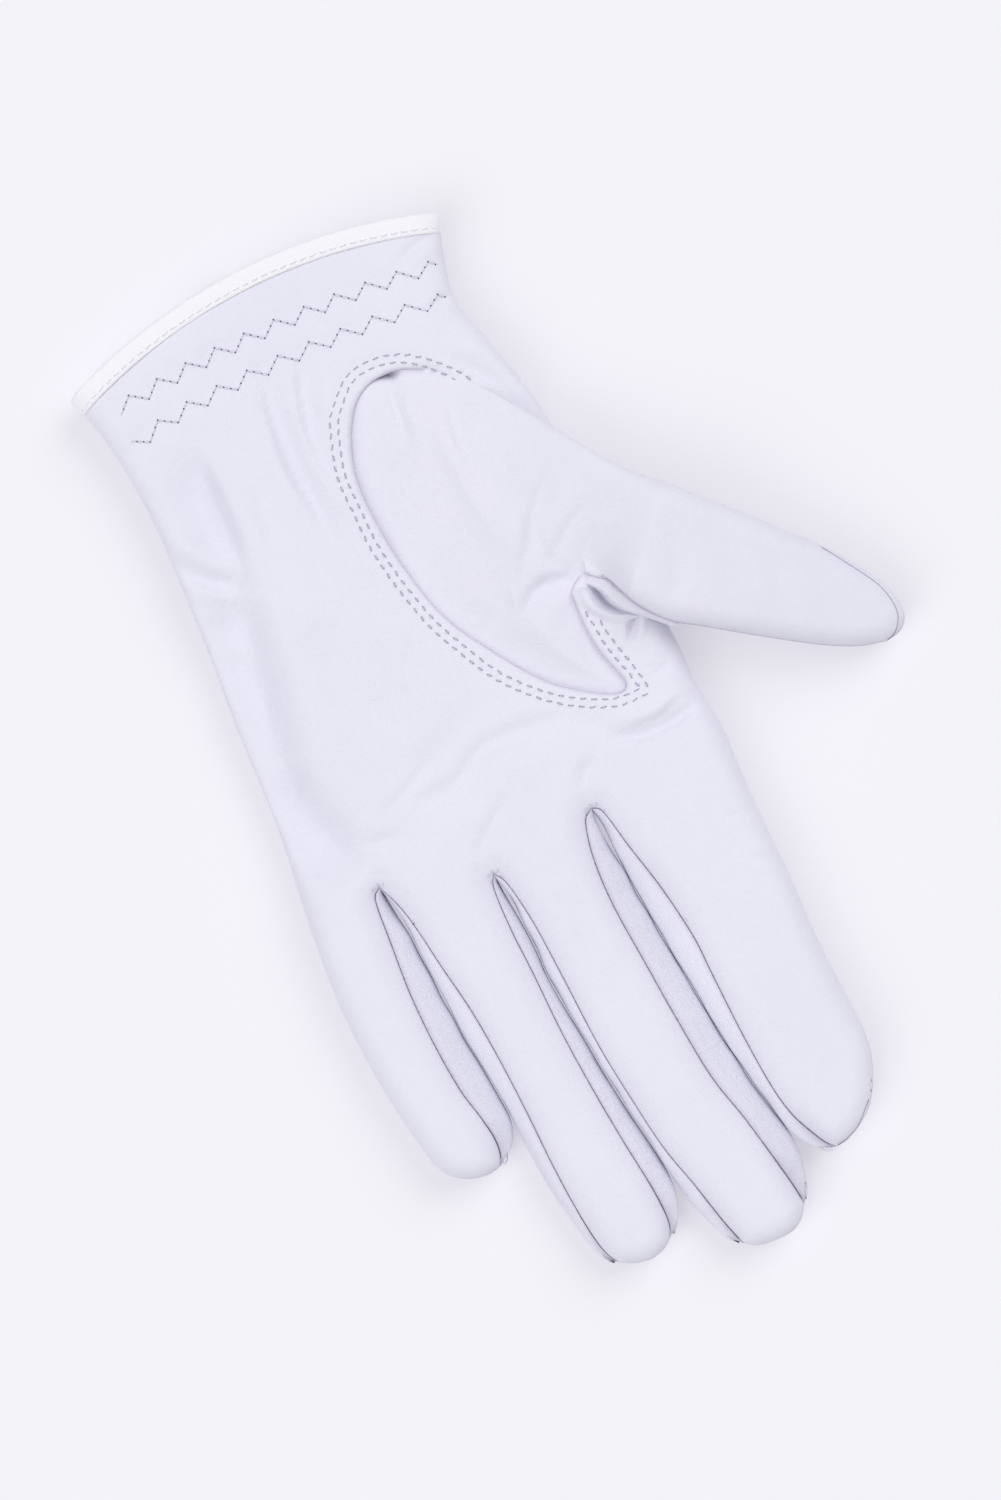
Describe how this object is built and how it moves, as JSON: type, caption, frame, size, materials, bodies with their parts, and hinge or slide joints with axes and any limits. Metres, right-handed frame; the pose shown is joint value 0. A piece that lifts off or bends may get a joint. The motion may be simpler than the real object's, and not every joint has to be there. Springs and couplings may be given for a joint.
{
  "type": "golf glove",
  "caption": "Soft white leather golf glove for the left hand, palm up, with an inset thumb, bending finger and thumb sleeves, a bound elastic cuff and a hook-and-loop closure tab on the back.",
  "frame": {"origin": "on the resting plane, under the middle of the palm, where the back of the glove rests", "axes": "+Y along the fingers, +Z out of the palm, and the thumb is on the -X side"},
  "size_m": [0.1377, 0.2226, 0.0223],
  "materials": {
    "leather": "soft, thin, fine-grained leather",
    "thumb_leather": "soft, thin, fine-grained leather",
    "fourchette_leather": "soft leather with a fine texture",
    "binding_fabric": "white folded tape",
    "elastic": "white ribbed elastic",
    "loop_fabric": "white looped pile",
    "hook_plastic": "white moulded hooks",
    "thread": "fine polyester thread"
  },
  "bodies": {
    "hand": {"palm_panel": "leather", "back_panel": "leather", "cuff_binding": "binding_fabric", "wrist_elastic": "elastic", "thumb_base": "thumb_leather", "thumb_gusset": "fourchette_leather", "loop_pad": "loop_fabric", "tab_anchor": "leather", "zigzag_stitching": "thread", "thumb_stitching": "thread", "binding_stitching": "thread"},
    "tab": {"closure_tab": "leather", "hook_pad": "hook_plastic", "tab_stitching": "thread"},
    "index_root": {"index_palm_root": "leather", "index_back_root": "leather", "index_inner_fourchette_root": "fourchette_leather"},
    "index_tip": {"index_palm_tip": "leather", "index_back_tip": "leather", "index_inner_fourchette_tip": "fourchette_leather"},
    "middle_root": {"middle_palm_root": "leather", "middle_back_root": "leather", "middle_outer_fourchette_root": "fourchette_leather", "middle_inner_fourchette_root": "fourchette_leather"},
    "middle_tip": {"middle_palm_tip": "leather", "middle_back_tip": "leather", "middle_outer_fourchette_tip": "fourchette_leather", "middle_inner_fourchette_tip": "fourchette_leather"},
    "ring_root": {"ring_palm_root": "leather", "ring_back_root": "leather", "ring_outer_fourchette_root": "fourchette_leather", "ring_inner_fourchette_root": "fourchette_leather"},
    "ring_tip": {"ring_palm_tip": "leather", "ring_back_tip": "leather", "ring_outer_fourchette_tip": "fourchette_leather", "ring_inner_fourchette_tip": "fourchette_leather"},
    "little_root": {"little_palm_root": "leather", "little_back_root": "leather", "little_outer_fourchette_root": "fourchette_leather"},
    "little_tip": {"little_palm_tip": "leather", "little_back_tip": "leather", "little_outer_fourchette_tip": "fourchette_leather"},
    "thumb_root": {"thumb_palm_root": "thumb_leather", "thumb_back_root": "thumb_leather"},
    "thumb_tip": {"thumb_palm_tip": "thumb_leather", "thumb_back_tip": "thumb_leather"}
  },
  "joints": [
    {"name": "closure_tab_hinge", "type": "hinge", "parent": "hand", "child": "tab", "pos_m": [0.016, -0.08, 0], "axis": [0, -1, 0], "range_deg": [0, 150]},
    {"name": "index_knuckle", "type": "hinge", "parent": "hand", "child": "index_root", "pos_m": [-0.0249, 0.024, 0.01], "axis": [1, 0, 0], "range_deg": [0, 80]},
    {"name": "index_middle_joint", "type": "hinge", "parent": "index_root", "child": "index_tip", "pos_m": [-0.0249, 0.052, 0.01], "axis": [1, 0, 0], "range_deg": [0, 95]},
    {"name": "middle_knuckle", "type": "hinge", "parent": "hand", "child": "middle_root", "pos_m": [0.0011, 0.026, 0.01], "axis": [1, 0, 0], "range_deg": [0, 80]},
    {"name": "middle_middle_joint", "type": "hinge", "parent": "middle_root", "child": "middle_tip", "pos_m": [0.0011, 0.056, 0.01], "axis": [1, 0, 0], "range_deg": [0, 95]},
    {"name": "ring_knuckle", "type": "hinge", "parent": "hand", "child": "ring_root", "pos_m": [0.02335, 0.026, 0.01], "axis": [1, 0, 0], "range_deg": [0, 80]},
    {"name": "ring_middle_joint", "type": "hinge", "parent": "ring_root", "child": "ring_tip", "pos_m": [0.02335, 0.054, 0.01], "axis": [1, 0, 0], "range_deg": [0, 95]},
    {"name": "little_knuckle", "type": "hinge", "parent": "hand", "child": "little_root", "pos_m": [0.0435, 0.018, 0.01], "axis": [1, 0, 0], "range_deg": [0, 80]},
    {"name": "little_middle_joint", "type": "hinge", "parent": "little_root", "child": "little_tip", "pos_m": [0.0435, 0.041, 0.01], "axis": [1, 0, 0], "range_deg": [0, 95]},
    {"name": "thumb_root_joint", "type": "hinge", "parent": "hand", "child": "thumb_root", "pos_m": [-0.04066, -0.0256, 0.02203], "axis": [0.7193, 0.6947, 0], "range_deg": [0, 45]},
    {"name": "thumb_middle_joint", "type": "hinge", "parent": "thumb_root", "child": "thumb_tip", "pos_m": [-0.06112, -0.00441, 0.0163], "axis": [0.7193, 0.6947, 0], "range_deg": [0, 60]}
  ]
}
